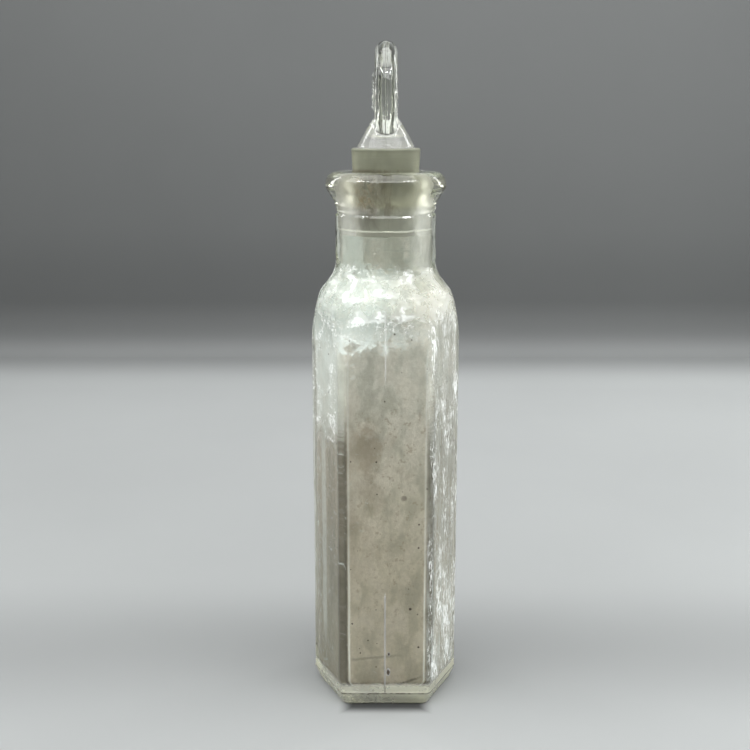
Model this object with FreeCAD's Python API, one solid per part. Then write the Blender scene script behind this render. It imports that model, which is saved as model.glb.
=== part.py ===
"""Six-sided moulded glass dropper bottle with its ground glass stopper.

The origin is the centre of the foot, +Z is up, and all sizes are millimetres. The broad
front face looks along -Y, and two of the upright edges lie on the X axis. The stopper's
round head stands in the YZ plane. Both pieces are drawn as they sit when the bottle is
closed.
"""
import math
import os

import FreeCAD
import Part

# Overall heights
LIP_TOP = 128.4  # five inches and a little from foot to lip
SHOULDER_TOP = 107.5
SHOULDER_BOTTOM = 88.0

# Six-sided body
BODY_R = 17.9  # centre to the left and right upright edges, after rounding
BODY_FRONT = 15.7  # centre to the broad front and back faces
SIDE_TURN = math.radians(24.9)  # how far each side face looks away from the X axis
BODY_EDGE_ROUND = 1.3
BODY_SIDE = (BODY_R - BODY_EDGE_ROUND) * math.cos(SIDE_TURN) + BODY_EDGE_ROUND  # centre to a side face
HEEL_HEIGHT = 3.5  # level of the seam between body mould and base plate
HEEL_INSET = 1.0
FOOT_ROUND = 0.7
RECESS_R = 10.0  # shallow hollow under the foot
RECESS_DEPTH = 0.7

# Hollow
WALL = 1.9
INNER_EDGE_ROUND = 2.4
FLOOR_THICKNESS = 3.8
FLOOR_ROUND = 2.2

# Neck, collar and lip
NECK_R = 11.9
NECK_ROOT = 6.0  # how far the neck's solid reaches down into the shoulder
GROOVE_R = 11.5
GROOVE_BOTTOM = 118.8
GROOVE_SLOPE = 0.4  # height of the groove's lower side
COLLAR_BOTTOM = 119.3
COLLAR_SLOPE = 0.25
COLLAR_TOP = 120.9
COLLAR_R = 11.75
LIP_R = 14.25
LIP_ROUND = 2.9  # the bead's radius, over and under
MOUTH_CHAMFER = 0.5

# Ground joint between neck and stopper, taper one in ten on diameter
TAPER = 0.05  # change of radius per millimetre of height
PLUG_LIP_R = 7.78  # plug radius level with the lip
PLUG_TOP = 133.7
PLUG_BOTTOM = 115.0
PLUG_CHAMFER = 0.6
LEDGE_ROUND = 0.4
GROUND_CLEARANCE = 0.05
SEAT_BOTTOM = 114.2
SEAT_RUNOUT = 0.3
BORE_R = 7.1  # below the ground seat

# Stopper head
CONE_R = 6.85
CONE_TOP_R = 3.1
CONE_TOP = 140.2
CONE_BULGE = 0.15  # the cone's side is a little convex
HEAD_R = 11.25
HEAD_THICKNESS = 5.5
HEAD_TOP = 157.7
HEAD_ROUND = 2.4
BADGE_R = 4.4  # raised patch on one face of the head
BADGE_HEIGHT = 0.25
BADGE_SUNK = 0.3  # how far the patch is let into the head, so that they join
BADGE_RIBS = 12
RIB_HEIGHT = 0.6
RIB_WIDTH = 0.7
RIB_START = 2.2  # centre of the patch to a rib's inner end
RIB_LENGTH = 2.0

# Room for cutting shapes to stand past the surfaces they cut
SPARE = 1.0
TOUCH = 0.01  # slack when edges are picked by their height

CENTRE = FreeCAD.Vector(0, 0, 0)
UP = FreeCAD.Vector(0, 0, 1)


def point(r, z):
    """A point of a turned outline, in the XZ half plane."""
    return FreeCAD.Vector(r, 0, z)


def line(start, end):
    return Part.LineSegment(start, end).toShape()


def arc(start, middle, end):
    return Part.Arc(start, middle, end).toShape()


def smooth(points):
    """A smooth curve through points that starts and ends upright."""
    curve = Part.BSplineCurve()
    curve.interpolate(Points=points, InitialTangent=UP, FinalTangent=UP)
    return curve.toShape()


def turned_point(centre, radius, angle):
    """The point of a circle in the XZ half plane at an angle above level."""
    return point(centre.x + radius * math.cos(angle), centre.z + radius * math.sin(angle))


def turned(edges):
    """A solid of revolution from a closed outline in the XZ half plane."""
    face = Part.Face(Part.Wire(edges))
    return face.revolve(CENTRE, UP, 360)


def hexagon(inset, rounding, z):
    """The body's six-sided outline, drawn in by inset at every face, with rounded corners."""
    normals = [SIDE_TURN, math.pi / 2, math.pi - SIDE_TURN]
    normals += [angle + math.pi for angle in normals]
    front = BODY_FRONT - inset - rounding
    side = BODY_SIDE - inset - rounding
    side_corner = side / math.cos(SIDE_TURN)
    front_corner = (side - front * math.sin(SIDE_TURN)) / math.cos(SIDE_TURN)
    half = [(side_corner, 0), (front_corner, front), (-front_corner, front)]
    centres = half + [(-x, -y) for x, y in half]
    corners = []
    for number, (x, y) in enumerate(centres):
        after = normals[number]
        before = normals[number - 1]
        if before > after:
            before -= 2 * math.pi
        ends = []
        for angle in (before, (before + after) / 2, after):
            reach = FreeCAD.Vector(math.cos(angle), math.sin(angle), 0) * rounding
            ends.append(FreeCAD.Vector(x, y, z) + reach)
        corners.append(ends)
    edges = []
    for ends, following in zip(corners, corners[1:] + corners[:1]):
        edges.append(arc(*ends))
        edges.append(line(ends[2], following[0]))
    return Part.Wire(edges)


def shoulder_outline():
    """Outside of the shoulder, from the upright edges to the neck."""
    return [
        point(19.0, SHOULDER_BOTTOM),
        point(17.15, 94.6),
        point(15.75, 100.2),
        point(14.1, 102.4),
        point(12.5, 104.6),
        point(NECK_R, SHOULDER_TOP),
    ]


def inner_shoulder_outline():
    """Inside of the shoulder, a wall's thickness within the outside."""
    return [
        point(16.8, SHOULDER_BOTTOM - 2.0),
        point(15.0, 94.0),
        point(12.7, 98.8),
        point(9.9, 101.3),
        point(8.0, 103.6),
        point(BORE_R, SHOULDER_TOP - 0.5),
    ]


def shoulder_envelope(outline, low):
    """A turned solid under a shoulder curve, wider than the hexagon below it."""
    wide = BODY_R + 3 * SPARE
    start = outline[0]
    top = outline[-1]
    flare = point(wide, start.z - 4 * SPARE)
    edges = [
        line(point(0, low), point(wide, low)),
        line(point(wide, low), flare),
        line(flare, start),
        smooth(outline),
        line(top, point(0, top.z)),
        line(point(0, top.z), point(0, low)),
    ]
    return turned(edges)


def body_block():
    """The six-sided body with its heel, as a solid block cut by the shoulder."""
    sole_outline = hexagon(HEEL_INSET + FOOT_ROUND, BODY_EDGE_ROUND, 0)
    heel_outline = hexagon(HEEL_INSET, BODY_EDGE_ROUND, FOOT_ROUND)
    body_outline = hexagon(0, BODY_EDGE_ROUND, HEEL_HEIGHT)
    foot = Part.makeLoft([sole_outline, heel_outline], True, True)
    heel = Part.makeLoft([heel_outline, body_outline], True, True)
    shaft = Part.Face(body_outline).extrude(UP * (SHOULDER_TOP - HEEL_HEIGHT))
    block = shaft.fuse([heel, foot]).removeSplitter()
    return block.common(shoulder_envelope(shoulder_outline(), -SPARE))


def neck_and_lip():
    """The round neck with its groove, collar and rolled lip, as a solid."""
    bead_r = LIP_R - LIP_ROUND
    bead = point(bead_r, LIP_TOP - LIP_ROUND)
    under = turned_point(bead, LIP_ROUND, -math.pi / 4)
    under_middle = turned_point(bead, LIP_ROUND, -math.pi / 8)
    widest = point(LIP_R, bead.z)
    top_middle = turned_point(bead, LIP_ROUND, math.pi / 4)
    root = SHOULDER_TOP - NECK_ROOT
    outline = [
        point(bead_r, LIP_TOP),
        point(0, LIP_TOP),
        point(0, root),
        point(NECK_R - SPARE, root),
        point(NECK_R, SHOULDER_TOP),
        point(NECK_R, GROOVE_BOTTOM - GROOVE_SLOPE),
        point(GROOVE_R, GROOVE_BOTTOM),
        point(GROOVE_R, COLLAR_BOTTOM),
        point(COLLAR_R, COLLAR_BOTTOM + COLLAR_SLOPE),
        point(COLLAR_R, COLLAR_TOP),
        under,
    ]
    edges = [line(start, end) for start, end in zip(outline, outline[1:])]
    edges.append(arc(under, under_middle, widest))
    edges.append(arc(widest, top_middle, point(bead_r, LIP_TOP)))
    return turned(edges)


def cavity():
    """The hollow inside the body, up to the bottom of the neck."""
    outline = hexagon(WALL, INNER_EDGE_ROUND, FLOOR_THICKNESS)
    room = Part.Face(outline).extrude(UP * (SHOULDER_TOP - FLOOR_THICKNESS))
    floor_edges = [e for e in room.Edges if e.BoundBox.ZMax < FLOOR_THICKNESS + TOUCH]
    room = room.makeFillet(FLOOR_ROUND, floor_edges)
    return room.common(shoulder_envelope(inner_shoulder_outline(), 0.0))


def seat_r(z):
    """Radius of the neck's ground seat at a height."""
    return PLUG_LIP_R + GROUND_CLEARANCE + (z - LIP_TOP) * TAPER


def neck_bore():
    """The bore through neck and lip: plain below, ground to a taper above."""
    low = SHOULDER_TOP - 1.5 * SPARE
    chamfer_foot = LIP_TOP - MOUTH_CHAMFER
    outline = [
        point(0, low),
        point(BORE_R, low),
        point(BORE_R, SEAT_BOTTOM - SEAT_RUNOUT),
        point(seat_r(SEAT_BOTTOM), SEAT_BOTTOM),
        point(seat_r(chamfer_foot), chamfer_foot),
        point(seat_r(chamfer_foot) + MOUTH_CHAMFER, LIP_TOP),
        point(seat_r(chamfer_foot) + MOUTH_CHAMFER, LIP_TOP + SPARE),
        point(0, LIP_TOP + SPARE),
    ]
    sides = zip(outline, outline[1:] + outline[:1])
    return turned([line(start, end) for start, end in sides])


def foot_recess():
    return Part.makeCone(RECESS_R, RECESS_R - RECESS_DEPTH, RECESS_DEPTH, CENTRE, UP)


def bottle():
    """The moulded bottle: body, neck and lip in one piece of glass, hollow inside."""
    solid = body_block().fuse(neck_and_lip())
    hollow = cavity().fuse(neck_bore())
    return solid.cut(hollow).cut(foot_recess())


def plug_and_cone():
    """The stopper's ground plug and the cone that carries the head."""
    bottom_r = PLUG_LIP_R + (PLUG_BOTTOM - LIP_TOP) * TAPER
    top_r = PLUG_LIP_R + (PLUG_TOP - LIP_TOP) * TAPER
    ledge_side = point(top_r - TAPER * LEDGE_ROUND, PLUG_TOP - LEDGE_ROUND)
    ledge_edge = point(top_r - LEDGE_ROUND, PLUG_TOP)
    cone_foot = point(CONE_R, PLUG_TOP)
    cone_top = point(CONE_TOP_R, CONE_TOP)
    cone_middle = point((CONE_R + CONE_TOP_R) / 2 + CONE_BULGE, (PLUG_TOP + CONE_TOP) / 2 + CONE_BULGE / 2)
    edges = [
        line(point(0, PLUG_BOTTOM), point(bottom_r - PLUG_CHAMFER, PLUG_BOTTOM)),
        line(point(bottom_r - PLUG_CHAMFER, PLUG_BOTTOM), point(bottom_r, PLUG_BOTTOM + PLUG_CHAMFER)),
        line(point(bottom_r, PLUG_BOTTOM + PLUG_CHAMFER), ledge_side),
        line(ledge_side, ledge_edge),
        line(ledge_edge, cone_foot),
        arc(cone_foot, cone_middle, cone_top),
        line(cone_top, point(0, CONE_TOP)),
        line(point(0, CONE_TOP), point(0, PLUG_BOTTOM)),
    ]
    return turned(edges)


def head():
    """The round flat head, standing in the YZ plane, with a rounded rim."""
    half = HEAD_THICKNESS / 2
    middle = FreeCAD.Vector(0, 0, HEAD_TOP - HEAD_R)
    side = FreeCAD.Vector(1, 0, 0)
    disc = Part.makeCylinder(HEAD_R, HEAD_THICKNESS, middle - side * half, side)
    rims = [e for e in disc.Edges if e.Closed]
    return disc.makeFillet(HEAD_ROUND, rims)


def badge():
    """A raised round patch with radial ribs on the head's left face."""
    side = FreeCAD.Vector(-1, 0, 0)
    middle = FreeCAD.Vector(-HEAD_THICKNESS / 2, 0, HEAD_TOP - HEAD_R)
    patch = Part.makeCylinder(BADGE_R, BADGE_HEIGHT + BADGE_SUNK, middle - side * BADGE_SUNK, side)
    ribs = []
    for number in range(BADGE_RIBS):
        rib = Part.makeBox(RIB_HEIGHT + BADGE_SUNK, RIB_WIDTH, RIB_LENGTH)
        rib.translate(middle + FreeCAD.Vector(-RIB_HEIGHT, -RIB_WIDTH / 2, RIB_START))
        rib.rotate(middle, side, 360.0 / BADGE_RIBS * number)
        ribs.append(rib)
    return patch.fuse(ribs)


def stopper():
    """The stopper: plug, cone and head pressed as one piece of glass."""
    return plug_and_cone().fuse([head(), badge()]).removeSplitter()


def save(name, shape):
    solids = shape.Solids
    if len(solids) != 1 or not shape.isValid():
        raise RuntimeError(name + " is not one valid solid")
    solids[0].exportStep(os.path.join("parts", name + ".step"))
    print(name, "volume", round(solids[0].Volume, 1), "box", solids[0].BoundBox)


os.makedirs("parts", exist_ok=True)
save("bottle", bottle())
save("stopper", stopper())
print("capacity in ml", round(cavity().fuse(neck_bore()).Volume / 1000, 1))
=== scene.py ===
"""Six-sided glass dropper bottle with a ground glass stopper: visual model in metres."""
import math

import bpy
import numpy as np
from mathutils import Euler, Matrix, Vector, noise


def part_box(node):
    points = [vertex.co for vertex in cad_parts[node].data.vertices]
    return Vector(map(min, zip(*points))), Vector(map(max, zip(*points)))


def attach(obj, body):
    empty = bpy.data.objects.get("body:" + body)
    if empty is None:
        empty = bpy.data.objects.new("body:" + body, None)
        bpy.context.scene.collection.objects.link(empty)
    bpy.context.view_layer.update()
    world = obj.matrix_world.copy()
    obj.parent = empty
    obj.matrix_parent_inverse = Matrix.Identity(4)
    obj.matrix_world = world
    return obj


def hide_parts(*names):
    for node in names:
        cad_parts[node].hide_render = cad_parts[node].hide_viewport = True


bl_info = {
    "name": "Dropper Bottle",
    "version": (1, 0, 0),
    "blender": (4, 5, 0),
    "location": "View3D > Sidebar > Bottle",
    "description": "Builds a moulded glass dropper bottle, its ground stopper and a small studio",
    "category": "Object",
}

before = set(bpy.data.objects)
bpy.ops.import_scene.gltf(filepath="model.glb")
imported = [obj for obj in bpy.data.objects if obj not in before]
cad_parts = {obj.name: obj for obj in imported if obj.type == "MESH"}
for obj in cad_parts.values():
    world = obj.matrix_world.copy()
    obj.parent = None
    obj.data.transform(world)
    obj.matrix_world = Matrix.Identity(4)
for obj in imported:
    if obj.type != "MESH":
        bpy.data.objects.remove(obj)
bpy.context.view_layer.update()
BOTTLE_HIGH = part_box("bottle")[1]
STOPPER_LOW, STOPPER_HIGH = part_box("stopper")

MM = 0.001
SIDE_TURN = math.radians(24.9)  # how far each side face looks away from the X axis
WHITE = (1.0, 1.0, 1.0, 1.0)
CLEAR_SHADE = (0.94, 0.95, 0.92, 1.0)  # lamplight that has come through clear glass


def length(name, description, millimetres):
    """A size that a user can change, kept in metres."""
    return bpy.props.FloatProperty(
        name=name,
        description=description,
        default=millimetres * MM,
        min=0.0,
        precision=5,
        unit="LENGTH",
        subtype="DISTANCE",
    )


def colour(name, description, code):
    """A colour that a user can change, from an sRGB hex code."""
    return bpy.props.FloatVectorProperty(
        name=name,
        description=description,
        default=linear(code)[:3],
        min=0.0,
        max=1.0,
        size=3,
        subtype="COLOR",
    )


def linear(code):
    """An sRGB hex code as linear red, green, blue and full alpha."""
    parts = [int(code[i:i + 2], 16) / 255 for i in (1, 3, 5)]
    values = [p / 12.92 if p <= 0.04045 else ((p + 0.055) / 1.055) ** 2.4 for p in parts]
    return (*values, 1.0)


class BottleSizes(bpy.types.PropertyGroup):
    """Sizes of the moulded bottle."""

    front: length("Front", "Centre to the broad front and back faces", BOTTLE_HIGH.y / MM - 0.12)
    side: length("Side", "Centre to the four side faces", 16.25)
    edge_round: length("Edge rounding", "Radius of the upright edges", 1.5)
    heel_height: length("Heel height", "Height of the base plate seam", 3.5)
    heel_inset: length("Heel inset", "How far the heel draws in", 1.0)
    foot_round: length("Foot rounding", "Radius under the heel", 0.8)
    recess_r: length("Foot recess", "Radius of the hollow under the foot", 10.0)
    recess_depth: length("Recess depth", "Depth of the hollow under the foot", 0.7)
    wall: length("Wall", "Thickness of the flat walls", 1.9)
    inner_round: length("Inner edge rounding", "Radius of the hollow's upright edges", 1.5)
    floor: length("Floor", "Thickness of the floor", 3.8)
    floor_round: length("Floor rounding", "Radius where wall meets floor", 2.2)
    shoulder_low: length("Shoulder start", "Height where the shoulder begins", 86.0)
    shoulder_high: length("Shoulder end", "Height where the neck begins", 107.5)
    neck_r: length("Neck radius", "Outside of the neck", 11.87)
    collar_r: length("Collar radius", "Collar below the lip", 11.75)
    lip_r: length("Lip radius", "Outside of the rolled lip", 14.22)
    bore_r: length("Bore radius", "Bore below the ground seat", 7.1)
    seat_r: length("Seat radius", "Ground seat level with the lip", 7.83)
    seat_low: length("Seat bottom", "Height where the ground seat ends", 114.3)
    lean: length("Lean", "How far the hollow sits to +X", 0.3)
    seam: length("Seam", "Height of the mould seams", 0.09)


class StopperSizes(bpy.types.PropertyGroup):
    """Sizes of the pressed stopper."""

    plug_r: length("Plug radius", "Plug radius level with the lip", 7.78)
    plug_top: length("Plug top", "Height of the ledge over the plug", 133.7)
    cone_r: length("Cone radius", "Cone at the ledge", 6.85)
    cone_top_r: length("Cone top radius", "Cone where it meets the head", 3.1)
    cone_top: length("Cone top", "Height where the cone ends", 140.2)
    head_r: length("Head radius", "Radius of the round head", 11.15)
    head_thickness: length("Head thickness", "Across the head's rim", 5.4)
    head_round: length("Head rounding", "Radius of the rim's edges", 2.5)
    badge_r: length("Patch radius", "Raised patch on one face", 4.4)
    badge_height: length("Patch height", "How proud the patch is", 0.25)
    rib_height: length("Rib height", "How proud the patch's ribs are", 0.35)


class FinishColours(bpy.types.PropertyGroup):
    """Colours of glass, deposit and studio."""

    glass: colour("Glass", "Colour of thick glass", "#D9DCC4")
    film: colour("Thin film", "Thin dried film inside", "#BEBEB3")
    chalk: colour("Chalk", "Thick mineral haze", "#CDD4D2")
    stain: colour("Stain", "Brown stain inside", "#84745A")
    speck: colour("Specks", "Dark crumbs of dirt", "#3A3024")
    floor: colour("Floor", "Tint of the pale table", "#FCFFFE")
    backdrop: colour("Backdrop", "Tint of the grey wall", "#FCFFFE")


# ---------------------------------------------------------------- shared shapes


def soft_min(a, b, blend):
    """The smaller of two values, rounded where they meet."""
    share = np.clip(0.5 + 0.5 * (b - a) / blend, 0.0, 1.0)
    return b * (1 - share) + a * share - blend * share * (1 - share)


def section_corners(front, side):
    """Corners of the six-sided section, anticlockwise from +X, front and side given from the axis."""
    side_x = side / math.cos(SIDE_TURN)
    front_x = (side - front * math.sin(SIDE_TURN)) / math.cos(SIDE_TURN)
    half = [(side_x, 0.0), (front_x, front), (-front_x, front)]
    return half + [(-x, -y) for x, y in half]


def section_radius(angles, front, side, rounding):
    """Distance from the axis to the rounded six-sided section at each angle."""
    ux, uy = np.cos(angles), np.sin(angles)
    centres = section_corners(front - rounding, side - rounding)
    radius = np.zeros_like(angles)
    normals = [SIDE_TURN, math.pi / 2, math.pi - SIDE_TURN]
    normals += [turn + math.pi for turn in normals]
    for number, (x, y) in enumerate(centres):
        along = x * ux + y * uy
        off = x * uy - y * ux
        round_part = along + np.sqrt(np.maximum(rounding ** 2 - off ** 2, 0.0))
        hit = np.where(np.abs(off) < rounding, round_part, 0.0)
        radius = np.maximum(radius, hit)
        nx, ny = math.cos(normals[number]), math.sin(normals[number])
        reach = x * nx + y * ny + rounding
        facing = ux * nx + uy * ny
        flat = np.where(facing > 0.1, reach / np.maximum(facing, 0.1), 0.0)
        place = flat * (uy * nx - ux * ny)
        start = y * nx - x * ny
        after = centres[(number + 1) % 6]
        end = after[1] * nx - after[0] * ny
        on_flat = (facing > 0.1) & (place >= start) & (place <= end)
        radius = np.where(on_flat, np.maximum(radius, flat), radius)
    return radius


def spread_angles(count, crowds):
    """Angles once round, closer together at each (angle, width, density) in crowds."""
    fine = np.linspace(0.0, math.tau, 7201)
    density = np.ones_like(fine)
    for angle, width, extra in crowds:
        away = np.abs(np.mod(fine - angle + math.pi, math.tau) - math.pi)
        density += extra * np.exp(-((away / width) ** 2))
    total = np.concatenate([[0.0], np.cumsum((density[1:] + density[:-1]) / 2)])
    places = np.linspace(0.0, total[-1], count, endpoint=False)
    return np.interp(places, total, fine)


def curve_through(points, steps):
    """Points of a smooth curve through (radius, height) points, upright at both ends."""
    knots = np.array(points)
    slopes = np.empty_like(knots)
    slopes[1:-1] = (knots[2:] - knots[:-2]) / 2
    slopes[0] = (0.0, knots[1, 1] - knots[0, 1])
    slopes[-1] = (0.0, knots[-1, 1] - knots[-2, 1])
    made = []
    for i in range(len(knots) - 1):
        for t in np.linspace(0.0, 1.0, steps, endpoint=False):
            a = 2 * t ** 3 - 3 * t ** 2 + 1
            b = t ** 3 - 2 * t ** 2 + t
            made.append(a * knots[i] + b * slopes[i] + (1 - a) * knots[i + 1]
                        + (t ** 3 - t ** 2) * slopes[i + 1])
    made.append(knots[-1])
    return np.array(made)


def arc_points(centre, radius, start, end, steps):
    """Points of an arc in the (radius, height) plane, angles in degrees."""
    turn = np.radians(np.linspace(start, end, steps))
    return [(centre[0] + radius * math.cos(t), centre[1] + radius * math.sin(t)) for t in turn]


def ripple(points, size, seed):
    """Smooth random values, about -1 to 1, for points in metres; size is a ripple's width."""
    shift = Vector((seed * 7.3, seed * 3.1, seed * 5.7))
    return np.array([noise.noise(Vector(p) / size + shift) for p in points])


def ring_points(radius, angles, z):
    """Points round the axis at one height."""
    return np.stack([radius * np.cos(angles), radius * np.sin(angles), np.full_like(angles, z)], axis=1)


def mesh_piece(name, points, faces):
    """A smooth shaded object in the scene."""
    mesh = bpy.data.meshes.new(name)
    mesh.from_pydata(points, [], faces)
    mesh.polygons.foreach_set("use_smooth", [True] * len(faces))
    piece = bpy.data.objects.new(name, mesh)
    bpy.context.scene.collection.objects.link(piece)
    return piece


def skin(name, rings, slots):
    """A closed mesh from rings of points; the first and last close on a centre point.

    rings is an array (ring, point, 3) and slots the material index of each band.
    """
    count, around = rings.shape[:2]
    points = rings.reshape(-1, 3)
    first = rings[0].mean(axis=0)
    last = rings[-1].mean(axis=0)
    points = np.vstack([points, first, last])
    low, high = len(points) - 2, len(points) - 1
    j = np.arange(around)
    nxt = (j + 1) % around
    faces = []
    marks = []
    for i in range(count - 1):
        a, b = i * around + j, i * around + nxt
        faces += np.stack([a, b, b + around, a + around], axis=1).tolist()
        marks += [slots[i]] * around
    top = (count - 1) * around
    faces += [(int(low), int(k), int(m)) for k, m in zip(nxt, j)]
    faces += [(int(high), int(top + k), int(top + m)) for k, m in zip(j, nxt)]
    marks += [slots[0]] * around + [slots[-1]] * around
    piece = mesh_piece(name, points.tolist(), faces)
    piece.data.polygons.foreach_set("material_index", marks)
    piece.data.validate()
    piece.data.update()
    return piece


# ---------------------------------------------------------------- materials


def add(tree, kind, inputs=None, **settings):
    """Adds a node with its settings, its input values and its links."""
    made = tree.nodes.new(kind)
    for key, value in settings.items():
        setattr(made, key, value)
    for key, value in (inputs or {}).items():
        socket = made.inputs[key]
        if isinstance(value, bpy.types.NodeSocket):
            tree.links.new(value, socket)
        else:
            socket.default_value = value
    return made


def follow(kind, inputs, **settings):
    """Adds a node to the tree that its input sockets belong to."""
    tree = next(value.id_data for value in inputs.values() if isinstance(value, bpy.types.NodeSocket))
    return add(tree, kind, inputs, **settings)


def new_material(name):
    """An empty material and its node tree."""
    material = bpy.data.materials.new(name)
    material.use_nodes = True
    material.node_tree.nodes.clear()
    return material, material.node_tree


def millimetres(tree):
    """The piece's own coordinates, in millimetres."""
    place = add(tree, "ShaderNodeTexCoord").outputs["Object"]
    return follow("ShaderNodeMapping", {"Vector": place, "Scale": (1 / MM, 1 / MM, 1 / MM)}).outputs[0]


def calc(operation, *values):
    """One sum on numbers or sockets."""
    return follow("ShaderNodeMath", dict(enumerate(values)), operation=operation).outputs[0]


def scaled(value, times, plus):
    """A value multiplied, then another added."""
    return calc("MULTIPLY_ADD", value, times, plus)


def product(*values):
    """All the given masks multiplied."""
    total = values[0]
    for value in values[1:]:
        total = calc("MULTIPLY", total, value)
    return total


def most(*values):
    """The largest of the given masks."""
    top = values[0]
    for value in values[1:]:
        top = calc("MAXIMUM", top, value)
    return top


def away(value, place):
    """How far a value is from a place, either way."""
    return calc("ABSOLUTE", calc("SUBTRACT", value, place))


def split(place):
    """A vector's X, Y and Z."""
    return follow("ShaderNodeSeparateXYZ", {"Vector": place}).outputs


def straight(value, low, high, start=0.0, end=1.0, **settings):
    """A straight-line change from start to end while a value goes from low to high."""
    ends = {"Value": value, "From Min": low, "From Max": high, "To Min": start, "To Max": end}
    return follow("ShaderNodeMapRange", ends, **settings).outputs[0]


def between(value, low, high, start=0.0, end=1.0):
    """A smooth change from start to end while a value goes from low to high."""
    return straight(value, low, high, start, end, interpolation_type="SMOOTHSTEP")


def hump(value, low, full, end, gone):
    """A mask that rises from low to full and falls from end to gone."""
    return product(between(value, low, full), between(value, gone, end))


def fractal(place, width, tall, detail, rough, bend=0.0):
    """Noise with features width millimetres across and tall millimetres high."""
    drawn = follow("ShaderNodeMapping", {"Vector": place, "Scale": (1 / width, 1 / width, 1 / tall)})
    return follow("ShaderNodeTexNoise", {
        "Vector": drawn.outputs[0], "Scale": 1.0, "Detail": detail, "Roughness": rough,
        "Distortion": bend}).outputs["Fac"]


def blend(share, under, over):
    """A colour between two colours, either of which may be a socket."""
    return follow("ShaderNodeMix", {0: share, 6: under, 7: over}, data_type="RGBA").outputs[2]


def bearings(place):
    """Height, X, and how squarely a place faces front, left front and right front."""
    across, _, height = split(place)
    level = follow("ShaderNodeVectorMath", {0: place, 1: (1.0, 1.0, 0.0)}, operation="MULTIPLY")
    outward = follow("ShaderNodeVectorMath", {0: level.outputs[0]}, operation="NORMALIZE").outputs[0]
    facing = []
    for turn in (-math.pi / 2, SIDE_TURN - math.pi, -SIDE_TURN):
        aim = (math.cos(turn), math.sin(turn), 0.0)
        square = follow("ShaderNodeVectorMath", {0: outward, 1: aim}, operation="DOT_PRODUCT")
        facing.append(square.outputs["Value"])
    return height, across, *facing


def crumbs(place, spacing, share, radius):
    """Round specks: about one in 1/share cells of the given spacing holds one."""
    cells = follow("ShaderNodeTexVoronoi", {"Vector": place, "Scale": 1 / spacing, "Randomness": 1.0})
    pick = follow("ShaderNodeSeparateColor", {"Color": cells.outputs["Color"]})
    reach = straight(pick.outputs["Red"], 1 - share, 1.0, 0.0, radius / spacing)
    return between(calc("SUBTRACT", reach, cells.outputs["Distance"]), 0.0, 0.2 * radius / spacing)


def near(place, x, z, half_x, half_z, ragged):
    """A mask round one place on the front, an ellipse with an edge made ragged by noise."""
    across, _, height = split(place)
    off_x = calc("DIVIDE", calc("SUBTRACT", across, x), half_x)
    off_z = calc("DIVIDE", calc("SUBTRACT", height, z), half_z)
    square = scaled(off_x, off_x, product(off_z, off_z))
    noise_part = calc("SUBTRACT", fractal(place, 2.2, 3.0, 7.0, 0.65), 0.5)
    return between(scaled(noise_part, ragged, square), 1.8, 0.3)


def outline_distance(across, height, half_width, bottom, corner):
    """Distance outwards from the upright sides and round-cornered bottom of a tall outline."""
    wide = most(calc("SUBTRACT", calc("ABSOLUTE", across), half_width - corner), 0.0)
    low = most(calc("SUBTRACT", bottom + corner, height), 0.0)
    square = scaled(wide, wide, product(low, low))
    return calc("SUBTRACT", calc("SQRT", square), corner)


def tide_line(across, height, ragged, level, slope, start, full, end, gone):
    """A dried tide line 1 mm wide that climbs with X, between two places across the front."""
    middle = scaled(across, slope, level)
    middle = scaled(ragged, 1.6, middle)
    off = away(calc("SUBTRACT", height, middle), -0.8)
    return product(between(off, 0.55, 0.1), hump(across, start, full, end, gone),
                   between(ragged, 0.35, 0.5, 0.4, 0.85))


def finish_glass(tree, finish, tint, rough, passed, relief, shade):
    """Glass, part clear and part covered, with thick glass's tint, that lets lamps shine through.

    relief is (height, strength, distance in metres) and shade the colour of what shines through.
    """
    bump = follow("ShaderNodeBump", dict(zip(("Height", "Strength", "Distance"), relief)))
    surface = follow("ShaderNodeBsdfPrincipled", {
        "Base Color": tint, "Roughness": rough, "IOR": 1.52,
        "Transmission Weight": passed, "Normal": bump.outputs[0]})
    path = add(tree, "ShaderNodeLightPath")
    clear = add(tree, "ShaderNodeBsdfTransparent", {"Color": shade})
    mixed = add(tree, "ShaderNodeMixShader", {
        0: path.outputs["Is Shadow Ray"], 1: surface.outputs[0], 2: clear.outputs[0]})
    depth = add(tree, "ShaderNodeVolumeAbsorption", {"Color": (*finish.glass, 1.0), "Density": 30.0})
    add(tree, "ShaderNodeOutputMaterial", {"Surface": mixed.outputs[0], "Volume": depth.outputs[0]})


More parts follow.
